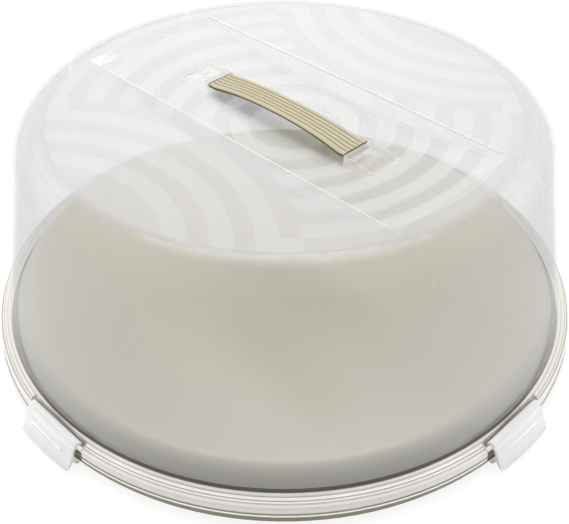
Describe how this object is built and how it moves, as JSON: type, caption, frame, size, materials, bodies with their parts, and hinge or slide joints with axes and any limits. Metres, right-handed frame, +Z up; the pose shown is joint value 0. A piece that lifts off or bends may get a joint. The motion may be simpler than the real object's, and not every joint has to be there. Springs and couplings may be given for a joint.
{
  "type": "cake carrier",
  "caption": "Round cake carrier: low tray under a clear drafted dome with a scooped top, a ribbed strap handle, and flap latches round the flange.",
  "frame": {"origin": "centre of the tray's foot, on the surface that the carrier stands on", "axes": "+Z up; +X along the carry handle, towards the latch named right; +Y towards the latch named back"},
  "size_m": [0.3652, 0.3652, 0.138],
  "materials": {
    "tray_plastic": "satin cream plastic",
    "clear_plastic": "clear, with frosted bands on the top",
    "handle_rubber": "matt khaki rubber",
    "latch_plastic": "milky translucent plastic"
  },
  "bodies": {
    "tray": {"base_tray": "tray_plastic"},
    "lid": {"lid_dome": "clear_plastic", "carry_handle": "handle_rubber"},
    "right_latch": {"latch_right": "latch_plastic"},
    "back_latch": {"latch_back": "latch_plastic"},
    "left_latch": {"latch_left": "latch_plastic"},
    "front_latch": {"latch_front": "latch_plastic"}
  },
  "joints": [
    {"name": "lid_lift", "type": "slide", "parent": "tray", "child": "lid", "axis": [0, 0, 1], "range_m": [0, 0.15]},
    {"name": "right_latch_hinge", "type": "hinge", "parent": "lid", "child": "right_latch", "pos_m": [0.17236, 0, 0.01474], "axis": [0, -1, 0], "range_deg": [0, 135]},
    {"name": "back_latch_hinge", "type": "hinge", "parent": "lid", "child": "back_latch", "pos_m": [0, 0.17236, 0.01474], "axis": [1, 0, 0], "range_deg": [0, 135]},
    {"name": "left_latch_hinge", "type": "hinge", "parent": "lid", "child": "left_latch", "pos_m": [-0.17236, 0, 0.01474], "axis": [0, 1, 0], "range_deg": [0, 135]},
    {"name": "front_latch_hinge", "type": "hinge", "parent": "lid", "child": "front_latch", "pos_m": [0, -0.17236, 0.01474], "axis": [-1, 0, 0], "range_deg": [0, 135]}
  ]
}
